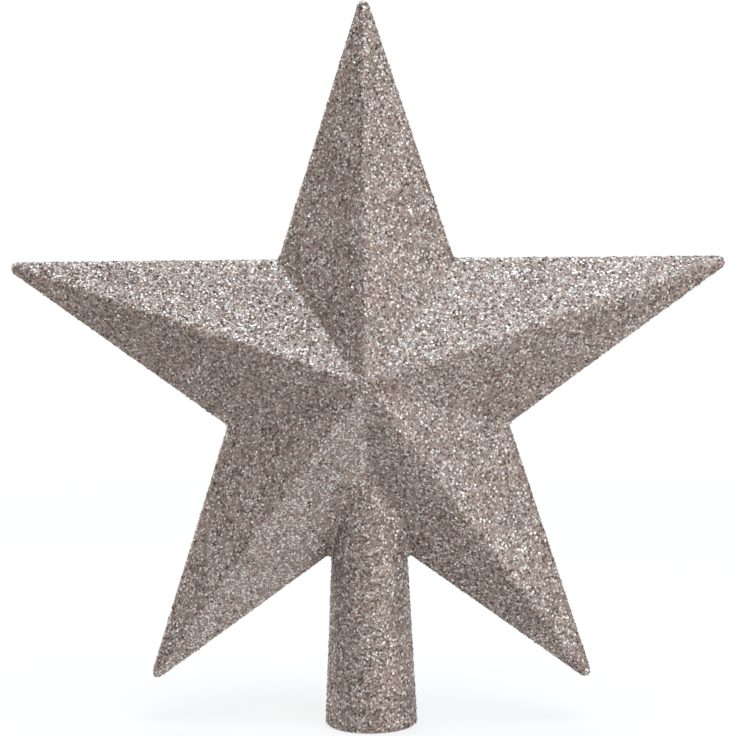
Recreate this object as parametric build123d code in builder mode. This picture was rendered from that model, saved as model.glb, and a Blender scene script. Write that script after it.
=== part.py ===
from build123d import *
import math
import os

# A five-pointed star that crowns a Christmas tree. Two moulded plastic halves meet in the plane
# of the star, each with half of the tapered socket that slips over the top shoot of the tree.
# A stepped lip and solvent cement join the halves, and glitter is bonded over the whole outside.
# Millimetres. Origin in the middle of the socket's mouth, +Z up the socket, the front faces -Y.

# Star, measured on the bare moulding
arm_count = 5
point_reach = 99.9  # star centre to the corner where the two edges of an arm would meet
notch_reach = 38.3  # star centre to the corner between two arms
point_radius = 1.1  # round end of each arm
notch_radius = 2.4  # round corner between two arms
apex_depth = 20.6  # parting plane to the peak in the middle of each face
edge_depth = 1.4  # parting plane to the edge where the facets start
star_height = 92.2  # socket mouth to the star centre

# Socket, measured on the bare moulding
mouth_radius = 11.8  # outside, at the open lower end
throat_radius = 8.3  # outside, at the upper end, which is hidden in the star
socket_length = 72.0
mouth_round = 0.5  # rounded outer edge of the mouth

# Moulded walls and the joint between the halves
wall = 1.2
rim_width = 2.4  # flat land around the star, where the halves meet
lip_width = 1.1
lip_depth = 1.0
lip_clearance = 0.1
cement_film = 0.2

# Coating
adhesive_film = 0.15
flake_layer = 0.2

# Each edge of the star lies at the same distance from its centre, so all facets have one slope
half_step = math.pi / arm_count
edge_length = math.hypot(
    point_reach - notch_reach * math.cos(half_step), notch_reach * math.sin(half_step)
)
edge_distance = point_reach * notch_reach * math.sin(half_step) / edge_length
facet_slope = math.atan2(apex_depth - edge_depth, edge_distance)
taper_slope = math.atan2(mouth_radius - throat_radius, socket_length)

parting_plane = Plane(origin=(0, 0, star_height), x_dir=(1, 0, 0), z_dir=(0, -1, 0))


def star_outline(growth):
    """Sharp-cornered star about its own centre, with every edge moved outwards by growth."""
    scale = 1 + growth / edge_distance
    corners = []
    for step in range(2 * arm_count):
        reach = notch_reach if step % 2 else point_reach
        angle = math.pi / 2 + step * half_step
        corners.append((scale * reach * math.cos(angle), scale * reach * math.sin(angle)))
    with BuildSketch() as outline:
        with BuildLine():
            Polyline(*corners, close=True)
        make_face()
    return outline.sketch


def rounded_outline(growth):
    """The same star with round ends on its arms and round corners between them."""
    sharp = star_outline(growth)
    with BuildSketch() as outline:
        add(sharp)
        fillet(outline.vertices().sort_by_distance((0, 0))[arm_count:], point_radius + growth)
        fillet(outline.vertices().sort_by_distance((0, 0))[:arm_count], notch_radius - growth)
    return outline.sketch


def star_half(side_growth, facet_growth):
    """Front half of a sharp-cornered star, with its sides and its facets moved out separately."""
    outline = star_outline(side_growth)
    facet_shift = facet_growth / math.cos(facet_slope)
    side_depth = edge_depth + facet_shift - side_growth * math.tan(facet_slope)
    peak = Vertex(parting_plane.from_local_coords((0, 0, apex_depth + facet_shift)))
    with BuildPart() as half:
        with BuildSketch(parting_plane):
            add(outline)
        extrude(amount=side_depth)
        facet_base = half.faces().sort_by(Axis.Y)[0]
        loft([facet_base, peak], ruled=True)
    return half.part


def socket_cone(growth):
    """Round tapered body of the socket, with its side moved outwards by growth."""
    side_shift = growth / math.cos(taper_slope)
    with BuildPart() as cone:
        with BuildSketch(Plane.XZ):
            with BuildLine():
                Polyline(
                    (0, 0),
                    (mouth_radius + side_shift, 0),
                    (throat_radius + side_shift, socket_length),
                    (0, socket_length),
                    close=True,
                )
            make_face()
        revolve(axis=Axis.Z)
    return cone.part


def outer_form(growth):
    """Whole outside of the star and its socket, with every face moved outwards by growth."""
    half = star_half(growth, growth)
    outline = rounded_outline(growth)
    cone = socket_cone(growth)
    with BuildPart() as form:
        add(half)
        with BuildSketch(parting_plane):
            add(outline)
        extrude(amount=2 * apex_depth, mode=Mode.INTERSECT)
        mirror(about=Plane.XZ)
        add(cone)
    return form.part


def seam_band(outer_inset, inner_inset):
    """Band along the rim between two insets from the star's edge, open where the socket enters."""
    outer_star = star_outline(-outer_inset)
    inner_star = star_outline(-inner_inset)
    with BuildSketch() as band:
        add(outer_star)
        add(inner_star, mode=Mode.SUBTRACT)
        with Locations((0, -star_height)):
            Rectangle(2 * mouth_radius, 2 * star_height, mode=Mode.SUBTRACT)
    return band.sketch


# Moulding before it is parted: one hollow body with the hollow running out of the socket's mouth
bare_form = outer_form(0)
inner_half = star_half(-rim_width, -wall)
inner_cone = socket_cone(-wall)
with BuildPart() as moulding:
    add(bare_form)
    fillet(moulding.edges().group_by(Axis.Z)[0], mouth_round)
    add(inner_half, mode=Mode.SUBTRACT)
    mirror(inner_half, about=Plane.XZ, mode=Mode.SUBTRACT)
    add(inner_cone, mode=Mode.SUBTRACT)

# Front half, with the raised lip that centres the rear half
lip_start = rim_width - lip_width
lip_band = seam_band(lip_start, rim_width)
with BuildPart() as front_shell:
    add(moulding.part)
    split(bisect_by=parting_plane, keep=Keep.TOP)
    with BuildSketch(parting_plane):
        add(lip_band)
    extrude(amount=-lip_depth)

# Rear half, with the rebate that takes the lip
rebate_start = lip_start - lip_clearance
rebate_depth = lip_depth + cement_film
rebate_band = seam_band(rebate_start, rim_width)
with BuildPart() as rear_shell:
    add(moulding.part)
    split(bisect_by=parting_plane, keep=Keep.BOTTOM)
    with BuildSketch(parting_plane):
        add(rebate_band)
    extrude(amount=-rebate_depth, mode=Mode.SUBTRACT)

# Solvent cement between the end of the lip and the floor of the rebate
with BuildPart() as seam_cement:
    with BuildSketch(parting_plane.offset(-lip_depth)):
        add(rebate_band)
    extrude(amount=-cement_film)

# Sprayed adhesive over both halves, up from the rounded edge of the mouth
adhesive_form = outer_form(adhesive_film)
with BuildPart() as adhesive_coat:
    add(adhesive_form)
    add(bare_form, mode=Mode.SUBTRACT)
    split(bisect_by=Plane.XY.offset(mouth_round), keep=Keep.TOP)

# Glitter flakes strewn on the adhesive, as one layer
flake_form = outer_form(adhesive_film + flake_layer)
with BuildPart() as glitter_layer:
    add(flake_form)
    add(adhesive_form, mode=Mode.SUBTRACT)
    split(bisect_by=Plane.XY.offset(mouth_round), keep=Keep.TOP)

pieces = {
    "front_shell": front_shell,
    "rear_shell": rear_shell,
    "seam_cement": seam_cement,
    "adhesive_coat": adhesive_coat,
    "glitter_layer": glitter_layer,
}

os.makedirs("parts", exist_ok=True)
for name, piece in pieces.items():
    piece.part.label = name
    export_step(piece.part, f"parts/{name}.step")
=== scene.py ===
import math

import bmesh
import bpy
import numpy as np
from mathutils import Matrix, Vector, kdtree, noise


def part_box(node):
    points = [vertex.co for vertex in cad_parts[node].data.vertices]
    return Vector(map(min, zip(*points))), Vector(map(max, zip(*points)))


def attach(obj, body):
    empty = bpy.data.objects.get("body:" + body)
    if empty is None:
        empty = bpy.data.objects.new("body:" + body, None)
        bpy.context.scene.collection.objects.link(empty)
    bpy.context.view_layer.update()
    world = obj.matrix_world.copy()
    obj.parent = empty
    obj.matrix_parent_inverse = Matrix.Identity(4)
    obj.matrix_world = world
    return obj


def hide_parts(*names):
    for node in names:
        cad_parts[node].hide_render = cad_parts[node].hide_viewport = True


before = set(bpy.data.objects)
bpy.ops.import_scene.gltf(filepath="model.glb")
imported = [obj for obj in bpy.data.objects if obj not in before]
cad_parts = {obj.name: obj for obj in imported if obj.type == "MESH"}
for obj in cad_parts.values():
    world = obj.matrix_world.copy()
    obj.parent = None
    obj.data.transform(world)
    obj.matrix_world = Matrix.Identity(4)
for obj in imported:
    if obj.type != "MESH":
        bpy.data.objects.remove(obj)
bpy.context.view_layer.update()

# Moulded halves
# The front and the rear of the star are injection-moulded polystyrene in a dusty rose. The coating
# covers their outside, so only the bore of the socket stays bare, with the core's fine grain on it.
polystyrene_rose = (0.56, 0.40, 0.35, 1)
polystyrene_shade = (0.49, 0.34, 0.295, 1)
polystyrene_roughness = 0.4
flow_streaks = 60  # per metre, left where the melt ran
grain_spacing = 0.0003
grain_relief = 0.00004
grain_strength = 0.35
grain_roughness = 0.2  # spread of the roughness from the top of the grain to its bottom


class Signal:
    """A socket in a material, so that shader maths is written as plain arithmetic."""

    def __init__(self, finish, socket):
        self.finish = finish
        self.socket = socket

    def output(self, name):
        """Another output of the same node."""
        return Signal(self.finish, self.socket.node.outputs[name])

    def maths(self, operation, first, second):
        return self.finish.node("Math", {"operation": operation}, {0: first, 1: second})

    def __add__(self, other):
        return self.maths("ADD", self, other)

    def __sub__(self, other):
        return self.maths("SUBTRACT", self, other)

    def __rsub__(self, other):
        return self.maths("SUBTRACT", other, self)

    def __mul__(self, other):
        return self.maths("MULTIPLY", self, other)

    __radd__ = __add__
    __rmul__ = __mul__


class Finish:
    """A material on one shader, with a single way to add nodes to it."""

    def __init__(self, name):
        self.material = bpy.data.materials.new(name)
        self.material.use_nodes = True
        self.tree = self.material.node_tree
        self.shader = self.tree.nodes["Principled BSDF"]

    def feed(self, node, sockets):
        """Gives each named socket its value or its link."""
        for key, value in sockets.items():
            if isinstance(value, Signal):
                self.tree.links.new(value.socket, node.inputs[key])
            else:
                node.inputs[key].default_value = value

    def node(self, kind, settings=None, sockets=None, output=0):
        """A new node, its settings made first and then its sockets, as a signal from one output."""
        node = self.tree.nodes.new("ShaderNode" + kind)
        for key, value in (settings or {}).items():
            setattr(node, key, value)
        self.feed(node, sockets or {})
        return Signal(self, node.outputs[output])

    def mixed(self, share, first, second):
        """A colour between two colours."""
        return self.node("Mix", {"data_type": "RGBA"}, {0: share, 6: first, 7: second}, 2)

    def place(self):
        """Where a point of the surface lies in the part's own frame, in metres."""
        return self.node("TexCoord", output="Object")

    def surface(self, sockets):
        self.feed(self.shader, sockets)
        return self.material


def moulded_polystyrene():
    finish = Finish("moulded_polystyrene")
    place = finish.place()
    flow = finish.node("TexNoise", sockets={"Vector": place, "Scale": flow_streaks, "Detail": 3})
    grain = finish.node("TexNoise", sockets={
        "Vector": place, "Scale": 1 / grain_spacing, "Detail": 2,
    })
    return finish.surface({
        "Base Color": finish.mixed(flow, polystyrene_rose, polystyrene_shade),
        "Roughness": polystyrene_roughness + grain_roughness * (grain - 0.5),
        "Normal": finish.node("Bump", sockets={
            "Strength": grain_strength, "Distance": grain_relief, "Height": grain,
        }),
        "Specular IOR Level": 0.5,
    })


polystyrene = moulded_polystyrene()
for half in ("front_shell", "rear_shell"):
    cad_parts[half].data.materials.clear()
    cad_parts[half].data.materials.append(polystyrene)

# Seam cement
# A solvent cement runs along the rebate of the rear half and bonds the lip of the front half. It
# cures clear and glossy with small trapped bubbles, and stays out of sight between the halves.
cement_clear = (0.80, 0.77, 0.72, 1)
cement_milky = (0.70, 0.62, 0.57, 1)
cement_roughness = 0.12
cement_bubbles = 1600  # per metre
bubble_roughness = 0.25


def cured_cement():
    finish = Finish("cured_cement")
    bubbles = finish.node("TexVoronoi", sockets={
        "Vector": finish.place(), "Scale": cement_bubbles,
    })
    return finish.surface({
        "Base Color": finish.mixed(bubbles, cement_clear, cement_milky),
        "Roughness": cement_roughness + bubble_roughness * bubbles,
        "Coat Weight": 0.3,
    })


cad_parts["seam_cement"].data.materials.clear()
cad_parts["seam_cement"].data.materials.append(cured_cement())

# Adhesive coat
# A tinted adhesive is sprayed over the closed star while it turns on a spindle. It pools a little
# in the corners and rounds the ridges, and the finest glitter dust sinks into it before it sets.
coat_voxel = 0.0007
coat_softening = 1
rim_height = 0.00005  # the coat runs down round the edge of the mouth, to just above the ground
coat_lap = 0.0112  # radius at which it ends there, within the wall of the socket
cap_height = 0.001  # no face of the cap across the mouth lies higher
coat_rose = (0.20, 0.125, 0.10, 1)
coat_brown = (0.08, 0.047, 0.036, 1)
coat_roughness = 0.25
coat_pools = 140  # per metre
dust_champagne = (0.40, 0.315, 0.27, 1)
dust_size = 0.00034
dust_tilt = 0.75
dust_metal = 0.5
dust_roughness = 0.3


def coated_skin(node_name):
    """The outer surface of a coating in the frame, closed over the mouth of the socket."""
    same_place = 1e-6
    skin = bmesh.new()
    skin.from_mesh(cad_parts[node_name].data)
    bmesh.ops.remove_doubles(skin, verts=skin.verts, dist=same_place)
    mouth_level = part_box(node_name)[0].z + 10 * same_place
    end_ring = [
        face for face in skin.faces if max(vert.co.z for vert in face.verts) < mouth_level
    ]
    bmesh.ops.delete(skin, geom=end_ring, context="FACES")
    waiting = [max(skin.verts, key=lambda vert: vert.co.z)]
    outside = set(waiting)
    while waiting:
        vert = waiting.pop()
        for edge in vert.link_edges:
            other = edge.other_vert(vert)
            if other not in outside:
                outside.add(other)
                waiting.append(other)
    inside = [vert for vert in skin.verts if vert not in outside]
    bmesh.ops.delete(skin, geom=inside, context="VERTS")
    mouth = [edge for edge in skin.edges if edge.is_boundary]
    for item in bmesh.ops.extrude_edge_only(skin, edges=mouth)["geom"]:
        if isinstance(item, bmesh.types.BMVert):
            item.co.z = rim_height
    lower_edge = [edge for edge in skin.edges if edge.is_boundary]
    bmesh.ops.holes_fill(skin, edges=lower_edge, sides=0)
    mesh = bpy.data.meshes.new(node_name + "_skin")
    skin.to_mesh(mesh)
    skin.free()
    return mesh


def softened(mesh, voxel, passes):
    """The same form in even, fine faces, with its ridges and corners rounded."""
    blank = bpy.data.objects.new("blank", mesh)
    bpy.context.scene.collection.objects.link(blank)
    remesh = blank.modifiers.new("even_faces", "REMESH")
    remesh.mode = "VOXEL"
    remesh.voxel_size = voxel
    soften = blank.modifiers.new("rounding", "SMOOTH")
    soften.iterations = passes
    shaped = blank.evaluated_get(bpy.context.evaluated_depsgraph_get())
    result = bpy.data.meshes.new_from_object(shaped)
    bpy.data.objects.remove(blank)
    return result


def open_mouth(mesh, radius):
    """Takes away the cap across the mouth, out to a radius."""
    shell = bmesh.new()
    shell.from_mesh(mesh)
    cap = []
    for face in shell.faces:
        middle = face.calc_center_median()
        if middle.z < cap_height and middle.xy.length < radius:
            cap.append(face)
    bmesh.ops.delete(shell, geom=cap, context="FACES")
    shell.to_mesh(mesh)
    shell.free()


def dusted_adhesive():
    finish = Finish("dusted_adhesive")
    place = finish.place()
    pooling = finish.node("TexNoise", sockets={"Vector": place, "Scale": coat_pools, "Detail": 4})
    dust = finish.node("TexVoronoi", sockets={
        "Vector": place, "Scale": 1 / dust_size,
    }, output="Color")
    grains = finish.node("SeparateColor", sockets={0: dust})
    film = finish.mixed(pooling, coat_rose, coat_brown)
    lean = finish.node("VectorMath", {"operation": "SUBTRACT"}, {0: dust, 1: (0.5, 0.5, 0.5)})
    facing = finish.node("VectorMath", {"operation": "MULTIPLY_ADD"}, {
        0: lean, 1: (dust_tilt,) * 3, 2: finish.node("NewGeometry", output="Normal"),
    })
    return finish.surface({
        "Base Color": finish.mixed(grains, film, dust_champagne),
        "Roughness": coat_roughness + dust_roughness * grains.output("Green"),
        "Metallic": dust_metal * grains,
        "Normal": finish.node("VectorMath", {"operation": "NORMALIZE"}, {0: facing}),
        "Specular IOR Level": 0.3,
        "Coat Weight": 0.4,
        "Coat IOR": 1.5,
        "Coat Roughness": 0.4,
    })


def piece(name, mesh, stands_for):
    """Puts a finished mesh into the scene as a piece of the star."""
    thing = bpy.data.objects.new(name, mesh)
    bpy.context.scene.collection.objects.link(thing)
    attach(thing, "root")
    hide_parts(stands_for)


# The film follows the outside of the glitter, so that rounding never bares the plastic at a tip.
coat_mesh = softened(coated_skin("glitter_layer"), coat_voxel, coat_softening)
open_mouth(coat_mesh, coat_lap)
coat_mesh.shade_smooth()
coat_mesh.materials.clear()
coat_mesh.materials.append(dusted_adhesive())
piece("adhesive_film", coat_mesh, "adhesive_coat")

# Glitter
# Hexagons punched from metallised polyester film are strewn on the wet adhesive. Most lie nearly
# flat, some are tipped up or stand on others, and each shade in the blend comes off its own roll.
star_centre = Vector((0, 0, 0.0922))
star_arms = 5
arm_turn = 360 / star_arms
facet_turn = arm_turn / 2
socket_radius = 0.0135  # holds the whole of the socket
socket_top = 0.066
flake_sides = 6
flake_spacing = 0.00050
flake_reach = (0.00027, 0.00040)  # middle of a flake to its corners
flake_thickness = 0.00005
flake_lift = (-0.00004, 0.00012)
flake_tilt = 0.18  # usual tilt, in radians
tipped_share = 0.18
tipped_tilt = 0.45
steepest_tilt = 0.9
flake_drift = 0.10  # how far the flakes of one patch lean the same way
drift_length = 0.006
tries_per_flake = 4
ground_clearance = 0.0001
mottle_length = 0.009
warmth_length = 0.0055
mottle_strength = 0.9
paleness_limits = (-1, 2.2)
warmth_limits = (-1, 1)
# Painted light and shade: the lower left arm's inner facet is made paler and the left arm's lower
# one darker. The ten facets of the front are counted from the top to the right.
facet_painted_light = {5: 1.9, 7: -0.9}
film_crinkle = 0.00015
crinkle_roughness = 0.2
# Name, share of the blend, gains in pale and in warm patches, colour, metal, roughness
film_rolls = [
    ("film_silver", 0.14, 0.9, -0.2, (0.64, 0.60, 0.567, 1), 0.40, 0.46),
    ("film_pearl", 0.24, 0.5, 0.2, (0.513, 0.46, 0.427, 1), 0.38, 0.46),
    ("film_champagne", 0.20, 0.1, 0.8, (0.36, 0.262, 0.198, 1), 0.36, 0.42),
    ("film_mauve", 0.15, 0.0, -0.9, (0.22, 0.158, 0.143, 1), 0.30, 0.42),
    ("film_rose", 0.13, -0.45, 0.4, (0.135, 0.073, 0.050, 1), 0.25, 0.40),
    ("film_umber", 0.15, -0.45, 0.0, (0.05, 0.027, 0.018, 1), 0.20, 0.40),
]
glitter_areas = ["top_arm", "right_arm", "lower_right_arm", "lower_left_arm", "left_arm", "socket"]
batch_number = 1225
draw = np.random.default_rng(batch_number)
noise.seed_set(batch_number)


def unit(vectors):
    return vectors / np.linalg.norm(vectors, axis=1)[:, None]


def strewn(mesh, spacing):
    """Places spread at random over a mesh, none closer than the spacing, and their normals."""
    mesh.calc_loop_triangles()
    corners = np.empty(len(mesh.loop_triangles) * 3, dtype=np.int32)
    mesh.loop_triangles.foreach_get("vertices", corners)
    corners = corners.reshape(-1, 3)
    points = np.empty(len(mesh.vertices) * 3)
    mesh.vertices.foreach_get("co", points)
    points = points.reshape(-1, 3)
    normals = np.empty(len(mesh.vertices) * 3)
    mesh.vertex_normals.foreach_get("vector", normals)
    normals = normals.reshape(-1, 3)
    sides = points[corners[:, 1:]] - points[corners[:, :1]]
    areas = np.linalg.norm(np.cross(sides[:, 0], sides[:, 1]), axis=1) / 2
    tries = int(tries_per_flake * areas.sum() / spacing**2)
    chosen = draw.choice(len(areas), size=tries, p=areas / areas.sum())
    weights = draw.dirichlet((1, 1, 1), size=tries)[:, :, None]
    places = (points[corners[chosen]] * weights).sum(axis=1)
    facing = (normals[corners[chosen]] * weights).sum(axis=1)
    tree = kdtree.KDTree(tries)
    for index, place in enumerate(places):
        tree.insert(place, index)
    tree.balance()
    free = np.ones(tries, dtype=bool)
    kept = []
    for index in range(tries):
        if free[index]:
            kept.append(index)
            for _, neighbour, _ in tree.find_range(places[index], spacing):
                free[neighbour] = False
    return places[kept], unit(facing[kept])


def tipped(places, facing):
    """Each flake's own normal: the coat's, drifting from patch to patch and tipped at random."""
    drift = np.array([noise.noise_vector(Vector(place) / drift_length) for place in places])
    tips = draw.rayleigh(flake_tilt, size=len(places))
    stands = draw.uniform(size=len(places)) < tipped_share
    tips[stands] = draw.rayleigh(tipped_tilt, size=stands.sum()).clip(0, steepest_tilt)
    across = unit(np.cross(facing, draw.normal(size=facing.shape)))
    return unit(facing + flake_drift * drift + np.tan(tips)[:, None] * across)


def painted_light_on_facets(facets, front):
    """Painted light and shade: extra paleness on some front facets, less on others."""
    paleness = np.zeros(len(facets))
    for facet, extra in facet_painted_light.items():
        paleness[front & (facets == facet)] = extra
    return paleness


def mottled_rolls(places, painted_facet_light):
    """Which roll each flake comes from: the blend's shade and warmth drift over the star, with
    painted light and shade added on two facets.
    """
    pale = np.array([noise.noise(Vector(place) / mottle_length) for place in places])
    warm = np.array([noise.noise(Vector(place) / warmth_length) for place in places])
    # painted light and shade on two front facets is added to the random paleness here
    pale = (mottle_strength * pale + painted_facet_light).clip(*paleness_limits)
    warm = (mottle_strength * warm).clip(*warmth_limits)
    shares = np.array([
        share * (1 + pale_gain * pale) * (1 + warm_gain * warm)
        for _, share, pale_gain, warm_gain, *_ in film_rolls
    ])
    steps = np.cumsum(shares / shares.sum(axis=0), axis=0)
    return (draw.uniform(size=len(places)) > steps[:-1]).sum(axis=0)


def flake_mesh(name, places, facing, rolls):
    """Thin hexagons, each a flat face over a shallow back that beds into the adhesive."""
    count = len(places)
    first = unit(np.cross(facing, draw.normal(size=facing.shape)))[:, None]
    second = np.cross(facing, first[:, 0])[:, None]
    reach = draw.uniform(*flake_reach, size=count)[:, None, None]
    angles = (np.arange(flake_sides) * 2 * math.pi / flake_sides)[:, None]
    corners = places[:, None] + reach * (np.cos(angles) * first + np.sin(angles) * second)
    backs = places - flake_thickness * facing
    points = np.concatenate([corners, backs[:, None]], axis=1)
    points[..., 2] += (ground_clearance - points[..., 2].min(axis=1)).clip(0)[:, None]
    face = list(range(flake_sides))
    back = [corner for side in face for corner in ((side + 1) % flake_sides, side, flake_sides)]
    outline = np.array(face + back)
    outline_starts = np.array([0] + [flake_sides + 3 * side for side in face])
    flakes = np.arange(count)[:, None]
    loops = (outline + points.shape[1] * flakes).reshape(-1)
    starts = (outline_starts + len(outline) * flakes).reshape(-1)
    mesh = bpy.data.meshes.new(name)
    mesh.vertices.add(points.size // 3)
    mesh.vertices.foreach_set("co", points.reshape(-1))
    mesh.loops.add(len(loops))
    mesh.loops.foreach_set("vertex_index", loops.astype(np.int32))
    mesh.polygons.add(len(starts))
    mesh.polygons.foreach_set("loop_start", starts.astype(np.int32))
    face_rolls = np.repeat(rolls, len(outline_starts)).astype(np.int32)
    mesh.polygons.foreach_set("material_index", face_rolls)
    mesh.update(calc_edges=True)
    mesh.validate()
    mesh.shade_flat()
    return mesh


def metallised_film(name, colour, metal, roughness):
    finish = Finish(name)
    crinkle = finish.node("TexNoise", sockets={
        "Vector": finish.place(), "Scale": 1 / film_crinkle, "Detail": 2,
    })
    return finish.surface({
        "Base Color": colour,
        "Metallic": metal,
        "Roughness": roughness + crinkle_roughness * (crinkle - 0.5),
        "Specular IOR Level": 0.3,
        "Coat Weight": 0.7,
        "Coat IOR": 1.6,
        "Coat Roughness": 0.4,
    })


flake_places, coat_facing = strewn(coat_mesh, flake_spacing)
flake_facing = tipped(flake_places, coat_facing)
lift = draw.uniform(*flake_lift, size=len(flake_places))[:, None]
flake_places = flake_places + lift * coat_facing
across, depth, height = flake_places.T
turn = np.degrees(np.arctan2(across, height - star_centre.z)) % 360
on_socket = (np.hypot(across, depth) < socket_radius) & (height < socket_top)
facet_numbers = (turn // facet_turn).astype(int)
# painted light and shade: two front facets made paler or darker
painted_facet_light = painted_light_on_facets(facet_numbers, (depth < 0) & ~on_socket)
flake_rolls = mottled_rolls(flake_places, painted_facet_light)
films = [metallised_film(name, *finish) for name, _, _, _, *finish in film_rolls]

area_numbers = np.round(turn / arm_turn).astype(int) % star_arms
area_numbers[on_socket] = glitter_areas.index("socket")
for number, area in enumerate(glitter_areas):
    here = area_numbers == number
    name = "glitter_" + area
    mesh = flake_mesh(name, flake_places[here], flake_facing[here], flake_rolls[here])
    for film in films:
        mesh.materials.append(film)
    piece(name, mesh, "glitter_layer")

# Studio
# The star stands on the rim of its socket on a round sheet of white paper whose edge sweeps up all
# round it. Soft square lamps hang overhead and behind, and stand right, front right and left of it.
paper_white = (0.76, 0.76, 0.76, 1)
paper_roughness = 0.8
paper_inner_radius = 0.9
paper_flat_radius = 3.0
paper_radius = 6.0
paper_rise = math.radians(16)  # the far edge above the horizon, seen from the star
paper_spokes = 96
sweep_steps = 12
shadow_reach = (0.1, 0.5)  # the paper turns from shaded to clean white between these radii
shadow_white = 0.75  # share of clean white that shows within the smaller one
lamps = [  # name, place, size, power, colour
    ("overhead_lamp", (0.10, -0.2, 0.95), 0.7, 10.8, (0.80, 0.92, 1)),
    ("right_lamp", (0.75, -0.45, 0.16), 0.25, 1.9, (0.92, 0.96, 1)),
    ("front_right_lamp", (0.45, -0.80, 0.25), 0.4, 2.0, (1, 1, 1)),
    ("left_lamp", (-0.83, 0.32, 0.25), 0.35, 2.6, (1, 0.90, 0.83)),
    ("rear_lamp", (-0.08, 0.50, 0.85), 0.6, 4.5, (0.86, 0.95, 1)),
]
wall_colour = (1, 0.93, 0.88, 1)
wall_light = 0.18


def paper_sweep():
    """A round sheet, flat under the star, whose far edge sweeps up all round it."""
    sweep = bmesh.new()
    sweep_width = paper_radius - paper_flat_radius
    radii = [paper_inner_radius, paper_flat_radius]
    for step in range(1, sweep_steps + 1):
        radii.append(paper_flat_radius + sweep_width * step / sweep_steps)
    middle = sweep.verts.new((0, 0, 0))
    previous = None
    for radius in radii:
        run = max(0.0, radius - paper_flat_radius) / sweep_width
        height = run**2 * paper_radius * math.tan(paper_rise)
        circle = []
        for spoke in range(paper_spokes):
            angle = 2 * math.pi * spoke / paper_spokes
            place = (radius * math.cos(angle), radius * math.sin(angle), height)
            circle.append(sweep.verts.new(place))
        for spoke in range(paper_spokes):
            after = (spoke + 1) % paper_spokes
            outer = (circle[spoke], circle[after])
            if previous:
                sweep.faces.new((previous[spoke], *outer, previous[after]))
            else:
                sweep.faces.new((middle, *outer))
        previous = circle
    mesh = bpy.data.meshes.new("paper_sweep")
    sweep.to_mesh(mesh)
    sweep.free()
    mesh.shade_smooth()
    return mesh


def studio_paper():
    finish = Finish("studio_paper")
    finish.surface({"Base Color": paper_white, "Roughness": paper_roughness})
    camera_ray = finish.node("LightPath", output="Is Camera Ray")
    glossy_ray = camera_ray.output("Is Glossy Ray")
    seen = camera_ray + glossy_ray + camera_ray.output("Is Transmission Ray")
    far = finish.node("VectorMath", {"operation": "LENGTH"}, {0: finish.place()}, "Value")
    clean = finish.node("MapRange", sockets={
        "Value": far,
        "From Min": shadow_reach[0],
        "From Max": shadow_reach[1],
        "To Min": shadow_white,
        "To Max": 1.0,
    })
    white = finish.node("Emission", sockets={"Color": (1, 1, 1, 1), "Strength": 1})
    sheet = Signal(finish, finish.shader.outputs[0])
    shown = finish.node("MixShader", sockets={0: seen * clean, 1: sheet, 2: white})
    finish.feed(finish.tree.nodes["Material Output"], {"Surface": shown})
    return finish.material


paper = bpy.data.objects.new("paper_sweep", paper_sweep())
paper.data.materials.append(studio_paper())
bpy.context.scene.collection.objects.link(paper)

for name, place, size, power, colour in lamps:
    light = bpy.data.lights.new(name, "AREA")
    light.shape = "SQUARE"
    light.size = size
    light.energy = power
    light.color = colour
    lamp = bpy.data.objects.new(name, light)
    lamp.location = place
    lamp.visible_camera = False
    lamp.rotation_euler = (Vector(place) - star_centre).to_track_quat("Z", "Y").to_euler()
    bpy.context.scene.collection.objects.link(lamp)

world = bpy.data.worlds.new("studio_walls")
world.use_nodes = True
walls = world.node_tree.nodes["Background"]
walls.inputs["Color"].default_value = wall_colour
walls.inputs["Strength"].default_value = wall_light
bpy.context.scene.world = world

# Camera
# It looks at the middle of the star from a little above and a touch to the right, through a long
# lens, and is very slightly rolled.
photo_size = 736
camera_azimuth = math.radians(2.0)
camera_elevation = math.radians(6.04)
camera_roll = math.radians(0.657)
camera_distance = 0.5957
camera_lens = 111.1
camera_sensor = 36
nearest_seen = 0.05
star_off_middle = (-0.5, 10.7)  # pixels right of and below the middle of the photo

right = Vector((math.cos(camera_azimuth), math.sin(camera_azimuth), 0))
back = Vector((
    math.sin(camera_azimuth) * math.cos(camera_elevation),
    -math.cos(camera_azimuth) * math.cos(camera_elevation),
    math.sin(camera_elevation),
))
up = back.cross(right)
lens = bpy.data.cameras.new("camera")
lens.lens = camera_lens
lens.sensor_width = camera_sensor
lens.shift_x = -star_off_middle[0] / photo_size
lens.shift_y = star_off_middle[1] / photo_size
lens.clip_start = nearest_seen
camera = bpy.data.objects.new("camera", lens)
pose = camera.matrix_world.to_3x3()
pose.col[0] = math.cos(camera_roll) * right - math.sin(camera_roll) * up
pose.col[1] = math.sin(camera_roll) * right + math.cos(camera_roll) * up
pose.col[2] = back
camera.matrix_world = pose.to_4x4()
camera.location = star_centre + camera_distance * back
bpy.context.scene.collection.objects.link(camera)
bpy.context.scene.camera = camera
bpy.context.scene.view_settings.view_transform = "Standard"
